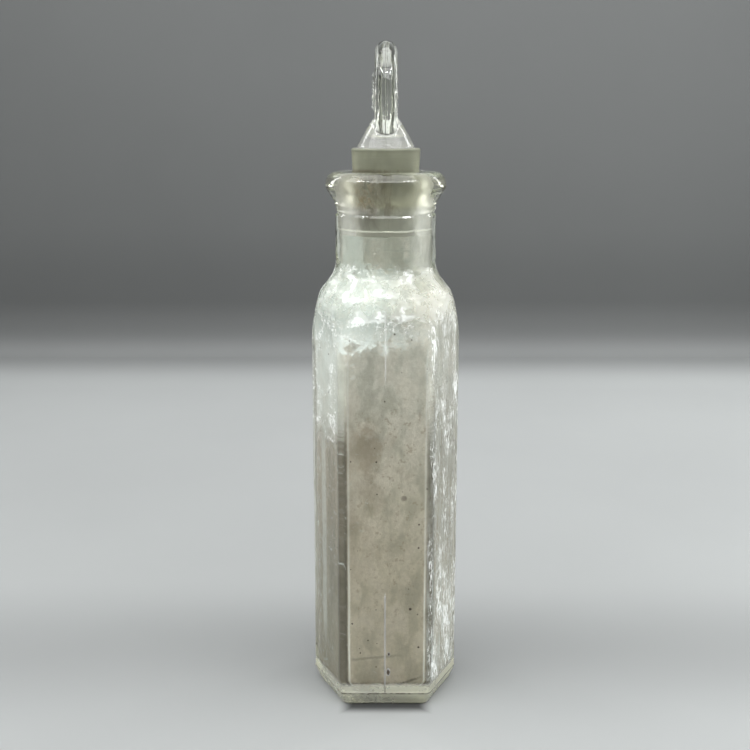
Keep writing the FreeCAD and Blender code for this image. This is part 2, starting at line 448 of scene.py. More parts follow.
def moulded_glass(finish):
    """Soda-lime glass from an iron mould, weathered outside: wavy, scuffed, with white etching.

    The etching is crackled flakes over the shoulder and fine upright runs on the right front
    face; dark dirt sits along the mould seams and under the base plate seam, and painted
    shade darkens the bottom edge of the foot.
    """
    material, tree = new_material("soda_lime_glass_moulded_weathered")
    place = millimetres(tree)
    height, across, front, left, right = bearings(place)
    waves = fractal(place, 6.0, 9.0, 2.0, 0.5)
    scuffs = fractal(place, 0.9, 0.9, 8.0, 0.7)

    # flakes 0.2 to 1 mm wide with sharp edges, in patches about 5 mm wide
    patches = fractal(place, 4.5, 4.0, 3.0, 0.6, 0.8)
    flake = fractal(place, 0.6, 0.5, 8.0, 0.85, 0.8)
    crust = between(scaled(patches, 0.6, flake), 0.85, 0.90)
    shoulder = hump(height, 88.0, 97.0, 106.0, 109.0)
    # runs 0.3 mm wide and 2 mm tall, in patches 4 mm wide and 14 mm tall
    run = fractal(place, 0.34, 1.9, 6.0, 0.75, 0.3)
    cluster = fractal(place, 4.0, 13.0, 3.0, 0.6)
    on_right = product(between(right, 0.83, 0.88), hump(height, 4.0, 8.0, 94.0, 101.0))
    sparse = product(hump(height, 22.0, 34.0, 60.0, 78.0), 0.03)
    runs = calc("SUBTRACT", scaled(cluster, 0.5, run), sparse)
    runs = scaled(between(height, 36.0, 18.0), 0.035, runs)
    runs = between(runs, 0.79, 0.86)
    on_left = product(between(left, 0.86, 0.95), hump(height, 60.0, 72.0, 96.0, 104.0), 0.8)
    shoulder = product(shoulder, between(across, 0.0, 9.0, 1.0, 0.35))
    etched = most(product(crust, shoulder), product(runs, on_right), product(crust, on_left))

    # dirt: 0.15 mm lines along the seams, broken up, and crumbs beside the base seam,
    # and painted shade along the foot's bottom edge
    broken = between(fractal(place, 1.2, 2.0, 4.0, 0.6), 0.42, 0.58)
    on_seam = between(away(across, -0.12), 0.24, 0.10)
    low = hump(height, 3.0, 4.0, 28.0, 30.0)
    high = hump(height, 80.0, 84.0, 96.0, 100.0)
    upright = product(on_seam, most(low, product(high, 0.4)), 0.75)
    base_seam = 3.4
    base_line = product(between(away(height, base_seam), 0.26, 0.12), scaled(broken, 0.35, 0.6))
    near_base = between(away(height, base_seam), 0.8, 0.2)
    bits = product(crumbs(place, 1.4, 0.5, 0.40), near_base)
    # painted shade: a dark line along the bottom edge of the foot
    painted_foot_shade = product(between(height, 0.8, 0.3), 0.3)
    # two crumbs on the front seam
    lumps = most(near(place, 0.7, 9.2, 0.45, 0.9, 4.0), near(place, 0.8, 13.8, 0.3, 0.5, 4.0))
    lumps = product(lumps, between(front, 0.5, 0.6))
    # the dirt and the painted shade on the foot, given the speck colour together
    dirt = most(upright, base_line, bits, painted_foot_shade, lumps)

    # the heel is dulled by wear, more so low down
    worn = product(between(height, 6.4, 5.0), between(scuffs, 0.2, 0.7, 0.9, 1.1),
                   between(waves, 0.3, 0.65, 0.31, 0.42))
    tint = blend(product(worn, 2.0), WHITE, linear("#DEDDC4"))
    # brown drips dried on the lip, left of the middle
    drips = between(fractal(place, 1.8, 5.0, 7.0, 0.7, 0.6), 0.42, 0.62)
    lip = product(hump(across, -8.0, -6.0, -3.0, -0.5), between(front, 0.3, 0.6),
                  hump(height, 118.5, 121.0, 126.5, 128.2), drips, 0.9)
    lip_haze = product(hump(height, 119.5, 121.5, 128.0, 128.6), between(front, 0.92, 0.6, 0.0, 0.05))
    on_lip = hump(height, 119.5, 121.5, 128.0, 128.6)
    olive = blend(between(front, 0.6, 0.9), linear("#F4F3EA"), linear("#E2E0C8"))
    tint = blend(on_lip, tint, olive)
    tint = blend(lip, tint, linear("#77602E"))
    tint = blend(etched, tint, linear("#F2F5F2"))
    tint = blend(dirt, tint, (*finish.speck, 1.0))
    covered = product(most(etched, dirt, worn, lip_haze, product(lip, 0.4)), 0.9)
    passed = calc("SUBTRACT", 1.0, covered)
    smooth = between(scuffs, 0.45, 0.8, 0.03, 0.18)
    cloudy = product(hump(height, 90.0, 97.0, 104.0, 110.0), between(patches, 0.3, 0.6, 0.2, 0.34))
    rough = most(smooth, cloudy, product(covered, 0.8))
    shade = blend(between(height, 7.0, 1.0), CLEAR_SHADE, (0.35, 0.35, 0.30, 1.0))
    finish_glass(tree, finish, tint, rough, passed, (waves, 0.35, 0.0012), shade)
    return material


def pressed_glass(finish):
    """Soda-lime glass pressed and fire polished: clear and bright, a few scuffs on the rim."""
    material, tree = new_material("soda_lime_glass_pressed_polished")
    place = millimetres(tree)
    waves = fractal(place, 3.0, 4.0, 2.0, 0.5)
    scuffs = fractal(place, 0.7, 0.7, 8.0, 0.7)
    height = split(place)["Z"]
    milky = product(hump(height, 132.0, 133.6, 137.0, 141.0),
                    between(scuffs, 0.3, 0.6, 0.7, 1.0), 0.14)
    passed = calc("SUBTRACT", 1.0, milky)
    rough = most(between(scuffs, 0.5, 0.75, 0.02, 0.12), product(milky, 0.9))
    finish_glass(tree, finish, WHITE, rough, passed, (waves, 0.25, 0.0008), CLEAR_SHADE)
    return material


def ground_glass(finish):
    """Glass ground matt with wet abrasive: a grey-green frost, brown where drips dried on it."""
    material, tree = new_material("soda_lime_glass_ground")
    place = millimetres(tree)
    across, _, height = split(place)
    grit = fractal(place, 0.25, 0.25, 6.0, 0.7)
    rings = fractal(place, 6.0, 0.35, 4.0, 0.6)
    drips = fractal(place, 2.4, 7.0, 6.0, 0.65, 0.5)
    stained = product(between(scaled(across, -0.03, drips), 0.42, 0.62),
                      hump(height, 112.0, 120.0, 128.4, 129.4))
    frost = blend(rings, linear("#9A9B83"), linear("#B4B59D"))
    frost = blend(between(height, 127.0, 121.0), frost, linear("#CDCEBA"))
    tint = blend(product(stained, 0.75), frost, linear("#6B5D40"))
    # painted highlight: a thin pale line round the plug's bottom edge, letting less light through
    painted_highlight_edge = product(hump(height, 114.75, 114.95, 115.1, 115.4), 0.6)
    tint = blend(painted_highlight_edge, tint, linear("#F6F6EE"))
    passed = product(between(drips, 0.3, 0.7, 0.86, 0.74), between(painted_highlight_edge, 0.0, 1.0, 1.0, 0.5))
    rough = between(grit, 0.3, 0.7, 0.34, 0.5)
    finish_glass(tree, finish, tint, rough, passed, (grit, 0.3, 0.0001), (0.6, 0.61, 0.56, 1.0))
    return material


def hazed_glass(finish, lean):
    """The inner wall with its dried mineral haze.

    Thick and chalky over the shoulder, white down the upper left front face, a thin beige
    film elsewhere, brown at mid height, with scattered dark crumbs; painted shade darkens
    the front corners and painted highlights run along them.
    """
    material, tree = new_material("soda_lime_glass_hazed_inside")
    place = millimetres(tree)
    own_axis = follow("ShaderNodeVectorMath", {0: place, 1: (lean, 0.0, 0.0)}, operation="SUBTRACT")
    height, across, front, left, right = bearings(own_axis.outputs[0])
    clouds = fractal(place, 7.0, 8.0, 3.0, 0.5)
    fine = fractal(place, 1.3, 1.5, 9.0, 0.75)
    wisp = fractal(place, 3.2, 2.2, 8.0, 0.7, 1.2)

    # shoulder: nearly closed between 90 and 104 mm, ragged below, with denser crusts
    belt = product(between(height, 84.0, 94.0), between(height, 111.0, 103.0))
    body = scaled(belt, 0.45, scaled(fine, 0.42, wisp))
    body = scaled(across, -0.009, body)
    shoulder = product(between(body, 0.86, 1.08), between(fine, 0.3, 0.6, 0.5, 0.95),
                       between(across, -2.0, 10.0, 1.0, 0.5))
    # left front face: an even white bloom that ends raggedly near 66 mm
    ragged = scaled(wisp, 16.0, height)
    bloom = product(between(ragged, 71.0, 79.0), between(left, 0.885, 0.925),
                    between(clouds, 0.3, 0.7, 0.8, 0.45))
    # right front face: streaks 0.5 mm wide and 9 mm tall, denser towards the foot
    streak = between(fractal(place, 0.5, 8.0, 5.0, 0.75), 0.40, 0.66)
    dense = between(height, 50.0, 14.0, 0.42, 1.0)
    dull = product(between(right, 0.86, 0.9), hump(height, 26.0, 46.0, 68.0, 84.0), 0.5)
    streaks = product(streak, between(right, 0.86, 0.9), dense)
    # neck: thin wisps
    wisps = product(between(wisp, 0.44, 0.70), between(height, 101.0, 107.0), 0.5)
    # painted highlights: pale lines down the hollow's upright front corners, where they catch the light
    edge = outline_distance(across, height, 9.07, 4.4, 2.3)
    on_front = between(front, 0.4, 0.6)
    line = product(hump(edge, -0.26, -0.08, 0.08, 0.26), on_front, between(fine, 0.3, 0.6, 0.5, 1.0),
                   between(height, 20.0, 55.0, 0.6, 0.25))
    # left front face: a painted highlight, a pale upright stripe, and painted shade darkening the glass
    # behind it
    stripe = product(hump(across, -14.7, -14.2, -13.7, -13.1), between(front, 0.0, 0.1),
                     hump(height, 8.0, 20.0, 60.0, 74.0), between(fine, 0.3, 0.6, 0.2, 0.5))
    dark = product(hump(across, -13.1, -12.3, -11.2, -10.5), between(left, 0.85, 0.88),
                   hump(height, 14.0, 34.0, 58.0, 74.0), 0.5)
    # the haze and chalk, with the painted highlights of the corner lines and the stripe
    thick = most(bloom, streaks, shoulder, wisps, line, stripe)
    # the crust turns greyer from 86 to 96 mm up, and darker towards +X
    upper_grey = between(height, 86.0, 96.0)

    # brown: patches at mid height and a ring of scum near the floor; on both front corners
    # a dark olive painted shade
    blots = fractal(place, 6.5, 9.0, 9.0, 0.72)
    mottle = fractal(place, 2.0, 3.0, 8.0, 0.75)
    patches = product(between(scaled(across, -0.014, blots), 0.46, 0.68),
                      hump(height, 22.0, 52.0, 66.0, 80.0), between(mottle, 0.3, 0.6, 0.4, 1.0))
    scum = product(between(mottle, 0.42, 0.62), between(height, 13.0, 5.0))
    weaker = between(across, -5.0, 5.0, 1.0, 0.9)
    # painted shade: a dark band round both front corners of the hollow
    corners = product(hump(edge, 0.0, 0.6, 0.9, 1.75), on_front, between(ragged, 87.0, 71.0),
                      between(mottle, 0.2, 0.6, 0.8, 1.0), weaker)
    # one round spot of dirt and one larger stain on the front wall
    spot = product(near(place, 4.3, 53.0, 0.7, 0.7, 0.0), between(front, 0.5, 0.6))
    large = product(near(place, -4.6, 65.0, 3.0, 6.5, 5.0), between(front, 0.5, 0.6))
    line_low = product(hump(height, 4.3, 4.8, 5.3, 6.2), between(mottle, 0.4, 0.55))
    rising = tide_line(across, height, mottle, 4.0, 0.39, 0.0, 1.2, 7.6, 8.8)
    level = tide_line(across, height, mottle, 12.6, 0.10, -9.0, -8.0, 1.0, 5.0)
    tides = product(most(rising, product(level, 0.5)), on_front)
    marks = between(scaled(mottle, 0.5, fractal(place, 1.1, 1.3, 4.0, 0.6)), 0.84, 0.92)
    marks = product(marks, hump(height, 8.0, 30.0, 70.0, 84.0), 0.55)
    brown = most(product(patches, 0.55), product(scum, 0.45), line_low,
                 product(large, 0.62), marks)
    specks = most(crumbs(place, 2.0, 0.6, 0.30), crumbs(place, 6.0, 0.12, 0.45),
                  product(spot, 0.75))

    tone = blend(between(height, 30.0, 92.0), linear("#B7AF98"), (*finish.film, 1.0))
    tone = blend(between(height, 98.0, 106.0), tone, linear("#ABAFA3"))
    smudge = fractal(place, 4.0, 7.0, 3.0, 0.5, 0.4)
    tone = blend(between(smudge, 0.40, 0.62, 0.0, 0.36), tone, linear("#CFC6B8"))
    tone = blend(between(smudge, 0.54, 0.34, 0.0, 0.42), tone, linear("#7F7D6B"))
    grain = fractal(place, 0.7, 0.9, 4.0, 0.7)
    tone = blend(between(grain, 0.60, 0.42, 0.0, 0.22), tone, linear("#7C7867"))
    grey = product(between(left, 0.85, 0.92), between(height, 66.0, 30.0), 0.7)
    tone = blend(most(grey, dull), tone, linear("#7E7A66"))
    # painted shade beside the stripe on the left front face
    tone = blend(dark, tone, linear("#57543F"))
    tone = blend(brown, tone, (*finish.stain, 1.0))
    tone = blend(tides, tone, linear("#4C4738"))
    # the painted shade on the front corners
    tone = blend(corners, tone, linear("#342D12"))
    # the crust colour above 96 mm, darker towards +X
    wet = blend(between(across, -5.0, 7.0), linear("#969E9B"), linear("#666B66"))
    # the haze and chalk take the crust colours, and so do the painted highlights
    tone = blend(thick, tone, blend(upper_grey, (*finish.chalk, 1.0), wet))
    tone = blend(specks, tone, (*finish.speck, 1.0))

    # how much light still passes: thin film 35 to 60%, chalk 8%, specks none
    in_neck = between(height, 98.0, 106.0)
    thin = most(between(clouds, 0.3, 0.7, 0.50, 0.43), product(in_neck, 0.55))
    less = between(most(thick, product(corners, 0.85)), 0.0, 1.0, 1.0, 0.12)
    passed = product(thin, less, calc("SUBTRACT", 1.0, specks))
    rough = most(between(passed, 0.0, 0.65, 0.75, 0.2), product(in_neck, 0.36))
    finish_glass(tree, finish, tone, rough, passed, (fine, 0.35, 0.0005), (0.7, 0.71, 0.67, 1.0))
    return material


# ---------------------------------------------------------------- bottle


def bottle_bands(size):
    """The bottle's outline from under the foot, up, over the lip and down to the floor inside.

    Each entry is (height, circle radius, inset, rounding, share of six-sided, slot, ripple).
    """
    far = 2 * size.side  # a circle too wide to cut the section
    top = BOTTLE_HIGH.z
    bands = []

    def outside(z, circle, inset=0.0, share=1.0, slot=0, wave=0.0):
        bands.append((z, circle, inset, size.edge_round, share, slot, wave))

    # under the foot: recess, then a flat rim that turns from round to six-sided
    for r in np.linspace(0.06, 0.93, 7):
        outside(size.recess_depth, size.recess_r * r, share=0.0)
    for t in np.linspace(0.0, 1.0, 4):
        outside(size.recess_depth * (1 - t), size.recess_r * (0.93 + 0.07 * t), share=0.0)
    sole_inset = size.heel_inset + size.foot_round
    for t in (0.25, 0.5, 0.75, 1.0):
        outside(0.0, size.recess_r, sole_inset, share=t)
    # foot rounding and heel
    for t in np.linspace(0.15, 1.0, 6) * math.pi / 2:
        outside(size.foot_round * (1 - math.cos(t)), far, sole_inset - size.foot_round * math.sin(t))
    heel_low = size.foot_round
    for t in np.linspace(0.1, 1.0, 12):
        z = heel_low + (size.heel_height - heel_low) * t
        outside(z, far, size.heel_inset * (1 - t) ** 1.4)
    # body
    for z in np.linspace(size.heel_height + 0.15 * MM, size.heel_height + 1.2 * MM, 6):
        outside(z, far, wave=0.3)
    for z in np.linspace(size.heel_height + 3 * MM, size.shoulder_low - 4 * MM, 32):
        outside(z, far, wave=1.0)
    # shoulder
    start = math.hypot(*section_corners(size.front, size.side)[1]) - 0.1 * MM
    points = [
        (start, size.shoulder_low - 2 * MM),
        (17.6 * MM, 92.2 * MM),
        (16.5 * MM, 97.6 * MM),
        (15.6 * MM, 100.4 * MM),
        (14.1 * MM, 102.4 * MM),
        (12.6 * MM, 104.6 * MM),
        (size.neck_r, size.shoulder_high),
    ]
    for r, z in curve_through(points, 9):
        outside(z, r, wave=1.0)
    # neck, groove and collar
    for z in np.linspace(size.shoulder_high + 1 * MM, 118.2 * MM, 12):
        outside(z, size.neck_r, wave=0.6)
    groove = size.collar_r - 0.25 * MM
    for r, z in [(size.neck_r - 0.06 * MM, 118.45 * MM), (groove + 0.05 * MM, 118.75 * MM),
                 (groove, 118.95 * MM), (groove, 119.2 * MM), (groove + 0.06 * MM, 119.4 * MM),
                 (size.collar_r - 0.04 * MM, 119.55 * MM), (size.collar_r, 119.75 * MM),
                 (size.collar_r, 120.3 * MM), (size.collar_r + 0.02 * MM, 120.75 * MM)]:
        outside(z, r, wave=0.3)
    # lip: a 45 degree underside, an upright band and a rounded top
    under_r = 2.9 * MM
    under_z = top - 2.9 * MM
    lip_low = (size.lip_r - under_r, under_z)
    foot_r = size.lip_r - under_r + under_r * math.cos(math.pi / 4)
    foot_z = under_z - under_r * math.sin(math.pi / 4)
    collar_top = 120.9 * MM
    for t in np.linspace(0.1, 0.9, 7):
        z = collar_top + (foot_z - collar_top) * t
        outside(z, size.collar_r + (foot_r - size.collar_r) * t, wave=0.4)
    for r, z in arc_points(lip_low, under_r, -45, 0, 9):
        outside(z, r, wave=0.7)
    top_r = 2.9 * MM
    for r, z in arc_points((size.lip_r - top_r, top - top_r), top_r, 0, 88, 18)[1:]:
        outside(z, r, wave=0.7)
    mouth = size.seat_r + 0.5 * MM
    for t in np.linspace(0.1, 0.95, 6):
        outside(top, (size.lip_r - top_r) * (1 - t) + mouth * t, wave=0.2)
    for r, z in arc_points((mouth, top - 0.5 * MM), 0.5 * MM, 100, 180, 6):
        outside(z, r, slot=1)

    # ground seat, then plain bore
    for z in np.linspace(top - 0.8 * MM, size.seat_low, 16):
        outside(z, size.seat_r - (top - z) * 0.05, slot=1)

    def inside(z, circle, inset=0.0, share=1.0, wave=0.0):
        bands.append((z, circle, size.wall + inset, size.inner_round, share, 2, wave))

    for z in np.linspace(size.seat_low - 0.5 * MM, size.shoulder_high - 0.5 * MM, 6):
        inside(z, size.bore_r, wave=0.5)
    widest = math.hypot(*section_corners(size.front - size.wall, size.side - size.wall)[1])
    inner = [
        (size.bore_r, size.shoulder_high - 1.0 * MM),
        (8.0 * MM, 103.4 * MM),
        (9.9 * MM, 101.2 * MM),
        (12.6 * MM, 98.6 * MM),
        (14.9 * MM, 93.8 * MM),
        (widest, size.shoulder_low - 3 * MM),
    ]
    for r, z in curve_through(inner, 8):
        inside(z, r, wave=2.0)
    floor_top = size.floor + size.floor_round
    for z in np.linspace(size.shoulder_low - 6 * MM, floor_top, 28):
        inside(z, far, wave=2.0)
    for t in np.linspace(0.1, 1.0, 9) * math.pi / 2:
        drop = size.floor_round * math.sin(t)
        inside(floor_top - drop, far, size.floor_round * (1 - math.cos(t)), wave=1.0)
    for t in np.linspace(0.12, 0.97, 9):
        inner_r = (size.front - size.wall - size.floor_round) * (1 - t)
        rise = 0.5 * MM * t  # the floor stands up a little in the middle
        inside(size.floor + rise, inner_r, size.floor_round, share=max(0.0, 1 - 3 * t))
    return bands


def make_bottle_mesh(size):
    """The whole bottle as one closed skin, with mould seams and wavy walls."""
    corners = section_corners(size.front, size.side)
    crowds = [(math.atan2(y, x), math.radians(3.0), 5.0) for x, y in corners]
    crowds += [(side * math.pi / 2, math.radians(1.0), 7.0) for side in (1, 3)]
    angles = spread_angles(312, crowds)
    bands = bottle_bands(size)
    rings = []
    for z, circle, inset, rounding, share, slot, wave in bands:
        six = section_radius(angles, size.front - inset, size.side - inset, rounding)
        radius = soft_min(six, np.full_like(six, circle), 0.7 * MM)
        radius = share * radius + (1 - share) * circle
        points = ring_points(radius, angles, z)
        if wave:
            seed = 1 if slot == 0 else 5
            push = ripple(points, 22 * MM, seed) * 0.10 + ripple(points, 7 * MM, seed + 1) * 0.05
            radius = radius - np.abs(push) * wave * MM if slot == 0 else radius + push * wave * MM
        if slot == 0 and z < BOTTLE_HIGH.z - 7.5 * MM:
            # mould seams: one up the middle of the front and back, one round the base plate
            off_seam = np.abs(radius * np.cos(angles)) / (0.17 * MM)
            upright = np.exp(-off_seam ** 2) * (z > size.heel_height - 0.01 * MM)
            around = math.exp(-((z - size.heel_height) / (0.22 * MM)) ** 2)
            fade = 1.0 if z < 28 * MM else 0.45
            radius = radius + size.seam * np.maximum(upright * fade, around)
        ring = ring_points(radius, angles, z)
        if slot == 2:
            # the hollow sits a little to one side, so one wall is thicker
            low = np.clip((size.shoulder_low + 10 * MM - z) / (20 * MM), 0.0, 1.0)
            ring[:, 0] += size.lean * low
        rings.append(ring)
    return skin("bottle_glass", np.array(rings), [b[5] for b in bands])


class DROPPER_OT_make_bottle(bpy.types.Operator):
    """Make the moulded bottle with its hazed inner wall"""

    bl_idname = "dropper.make_bottle"
    bl_label = "Make bottle"

    def execute(self, context):
        finish = context.scene.bottle_finish
        piece = make_bottle_mesh(context.scene.bottle_sizes)
        lean = context.scene.bottle_sizes.lean / MM
        for material in (moulded_glass(finish), ground_glass(finish), hazed_glass(finish, lean)):
            piece.data.materials.append(material)
        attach(piece, "bottle")
        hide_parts("bottle")
        return {"FINISHED"}


# ---------------------------------------------------------------- stopper


def head_half_thickness(size, rho):
    """Half the head's thickness at a distance from its centre, with a rounded rim."""
    half = size.head_thickness / 2
    into = np.clip((rho - (size.head_r - size.head_round)) / size.head_round, 0.0, 1.0)
    drop = size.head_round * (1 - np.sqrt(np.maximum(1 - into ** 2, 0.0)))
    crown = 0.12 * MM * (rho / size.head_r) ** 2
    return np.where(rho < size.head_r, half - drop - crown, -1.0)


def badge_relief(size, y, z):
    """Height of the raised patch and its radial ribs at a place on the head's face."""
    rho = np.hypot(y, z)
    edge = 1 / (1 + np.exp(np.clip((rho - size.badge_r) / (0.09 * MM), -40, 40)))
    turn = np.arctan2(z, y)
    ribs = np.clip(np.cos(turn * 12) * 2.5 - 0.6, 0.0, 1.0)
    # the ribs run from 1.9 to 4.1 mm from the centre
    zone = (np.clip((rho - 1.9 * MM) / (0.3 * MM), 0.0, 1.0)
            * np.clip((4.1 * MM - rho) / (0.25 * MM), 0.0, 1.0))
    return size.badge_height * edge + size.rib_height * ribs * zone


def head_section(size, angles, z):
    """Distance from the upright axis to the head's skin at one height, 0 where there is none."""
    centre = STOPPER_HIGH.z - size.head_r
    dz = z - centre
    low = np.zeros_like(angles)
    high = np.full_like(angles, size.head_r * 1.02)
    if abs(dz) >= size.head_r:
        return low
    for _ in range(34):
        middle = (low + high) / 2
        y = middle * np.sin(angles)
        x = middle * np.cos(angles)
        half = head_half_thickness(size, np.hypot(y, dz))
        half = half + np.where(x < 0, badge_relief(size, y, dz), 0.0)
        inside = np.abs(x) <= half
        low = np.where(inside, middle, low)
        high = np.where(inside, high, middle)
    return low


def even_angles(size, z, count):
    """Angles that space points evenly along the head's outline at one height, by quarters."""
    quarter = np.linspace(0.0, math.pi / 2, 900)
    radius = np.maximum(head_section(size, quarter, z), 0.5 * MM)
    x, y = radius * np.cos(quarter), radius * np.sin(quarter)
    steps = np.concatenate([[0.0], np.cumsum(np.hypot(np.diff(x), np.diff(y)))])
    one = np.interp(np.linspace(0.0, steps[-1], count // 4, endpoint=False), steps, quarter)
    back = math.pi - np.interp(np.linspace(steps[-1], 0.0, count // 4, endpoint=False), steps, quarter)
    return np.concatenate([one, back, one + math.pi, back + math.pi])


def make_stopper_mesh(size):
    """Plug, cone and head as one closed skin."""
    around = 320
    taper = 0.05
    lip = BOTTLE_HIGH.z
    bottom, top = STOPPER_LOW.z, STOPPER_HIGH.z
    centre = top - size.head_r
    round_angles = np.linspace(0.0, math.tau, around, endpoint=False)
    outline = []  # (height, circle radius, slot)
    bottom_r = size.plug_r + (bottom - lip) * taper
    for t in np.linspace(0.08, 0.95, 7):
        outline.append((bottom, (bottom_r - 0.6 * MM) * t, 1))
    for r, z in arc_points((bottom_r - 0.6 * MM, bottom + 0.6 * MM), 0.6 * MM, -85, 0, 7):
        outline.append((z, r, 1))
    for z in np.linspace(bottom + 1.2 * MM, size.plug_top - 0.6 * MM, 30):
        outline.append((z, size.plug_r + (z - lip) * taper, 1))
    ledge_r = size.plug_r + (size.plug_top - lip) * taper
    for r, z in arc_points((ledge_r - 0.45 * MM, size.plug_top - 0.45 * MM), 0.45 * MM, 0, 85, 7):
        outline.append((z, r, 1))
    outline.append((size.plug_top, ledge_r - 0.9 * MM, 0))
    outline.append((size.plug_top + 0.02 * MM, size.cone_r + 0.25 * MM, 0))
    outline.append((size.plug_top + 0.12 * MM, size.cone_r + 0.02 * MM, 0))
    rise = size.cone_top - size.plug_top
    for t in np.linspace(0.04, 1.0, 26):
        r = size.cone_r + (size.cone_top_r - size.cone_r) * t + 0.12 * MM * math.sin(math.pi * t)
        outline.append((size.plug_top + rise * t, r, 0))
    rings = []
    slots = []
    for z, circle, slot in outline:
        angles = round_angles
        disc = head_section(size, angles, z) if z > centre - size.head_r else np.zeros(around)
        if disc.max() > 0:
            # above the place where the head starts to stand out, points crowd round its rim
            share = min(1.0, (z - (centre - size.head_r)) / (size.cone_top - centre + size.head_r))
            angles = round_angles * (1 - share) + even_angles(size, z, around) * share
            disc = head_section(size, angles, z)
        radius = np.full(around, circle)
        if disc.max() > 0:
            radius = -soft_min(-radius, -disc, 0.7 * MM)
        rings.append((radius, angles, z))
        slots.append(slot)
    turns = np.arccos(np.clip((size.cone_top + 0.2 * MM - centre) / size.head_r, -1, 1))
    for phi in np.linspace(turns, 0.012, 96):
        z = centre + size.head_r * math.cos(phi)
        angles = even_angles(size, z, around)
        disc = head_section(size, angles, z)
        stem = size.cone_top_r * max(0.0, 1 - (z - size.cone_top) / (1.2 * MM))
        radius = -soft_min(-np.full(around, stem), -disc, 0.7 * MM) if stem > 0 else disc
        rings.append((radius, angles, z))
        slots.append(0)
    made = []
    for radius, angles, z in rings:
        if z > size.plug_top:
            # mould seam in the head's middle plane
            off = np.abs(radius * np.cos(angles)) / (0.2 * MM)
            radius = radius + 0.09 * MM * np.exp(-off ** 2) * (np.abs(np.sin(angles)) > 0.5)
        made.append(ring_points(radius, angles, z))
    return skin("stopper_glass", np.array(made), slots)


class DROPPER_OT_make_stopper(bpy.types.Operator):
    """Make the pressed stopper with its ground plug"""

    bl_idname = "dropper.make_stopper"
    bl_label = "Make stopper"

    def execute(self, context):
        piece = make_stopper_mesh(context.scene.stopper_sizes)
        finish = context.scene.bottle_finish
        # the same ground glass as in the bottle's neck, if that has been made
        ground = bpy.data.materials.get("soda_lime_glass_ground") or ground_glass(finish)
        for material in (pressed_glass(finish), ground):
            piece.data.materials.append(material)
        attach(piece, "stopper")
        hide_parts("stopper")
        return {"FINISHED"}


# ---------------------------------------------------------------- studio


# (distance in metres, grey): the table outwards from the bottle, the backdrop upwards;
# the greys are painted light and shade, the lamps' light falling off over the table and
# down the backdrop
FLOOR_GREYS = [(0.0, 0.245), (0.15, 0.245), (0.32, 0.31), (0.355, 0.30), (0.385, 0.205),
               (0.405, 0.18), (0.45, 0.17)]
WALL_GREYS = [(0.0, 0.19), (0.008, 0.09), (0.016, 0.077), (0.035, 0.072), (0.075, 0.088),
              (0.17, 0.098), (0.36, 0.112)]

# place, height on the axis it aims at, width, height, all in metres, and strength
# against the overhead light
SOFT_BOXES = {
    "overhead": ((0.0, -0.05, 0.8), 0.05, 0.8, 0.7, 1.0),
    "front": ((0.0, -0.62, 0.62), 0.06, 0.9, 0.45, 1.1),
    "left_back": ((-0.36, 0.24, 0.28), 0.12, 0.07, 0.3, 0.08),
    "right_back": ((0.36, 0.24, 0.28), 0.12, 0.07, 0.3, 0.08),
    "left_strip": ((-0.42, -0.34, 0.58), 0.1, 0.3, 0.045, 0.3),
    "right_strip": ((0.42, -0.30, 0.56), 0.1, 0.3, 0.045, 0.22),
    "left_side": ((-0.55, -0.15, 0.55), 0.08, 0.3, 0.5, 0.33),
    "right_side": ((0.55, -0.25, 0.55), 0.08, 0.3, 0.5, 0.32),
}


class StageSettings(bpy.types.PropertyGroup):
    """Camera and studio."""

    camera_distance: length("Camera distance", "Camera to the bottle's axis, level", 267.9)
    camera_height: length("Camera height", "Camera above the table", 139.4)
    camera_side: length("Camera side step", "Camera to the left of the axis", 2.53)
    camera_pitch: bpy.props.FloatProperty(
        name="Camera pitch", description="How far the camera looks down",
        default=math.radians(12.58), unit="ROTATION", subtype="ANGLE")
    lens: bpy.props.FloatProperty(
        name="Lens", description="Focal length for a 36 mm sensor",
        default=54.24, min=1.0, unit="CAMERA")
    table_depth: length("Table depth", "Axis to the foot of the backdrop", 405.0)
    light: bpy.props.FloatProperty(
        name="Light", description="Strength of the overhead light", default=5.0, min=0.0, unit="POWER")


def by_distance(value, stops):
    """A grey that changes with a distance in metres; stops are (distance, grey) pairs."""
    low, high = stops[0][0], stops[-1][0]
    ramp = follow("ShaderNodeValToRGB", {"Fac": straight(value, low, high)})
    ramp.color_ramp.interpolation = "B_SPLINE"
    marks = ramp.color_ramp.elements
    while len(marks) < len(stops):
        marks.new(0.5)
    for mark, (where, grey) in zip(marks, stops):
        mark.position = (where - low) / (high - low)
        mark.color = (grey, grey, grey, 1.0)
    return ramp.outputs["Color"]


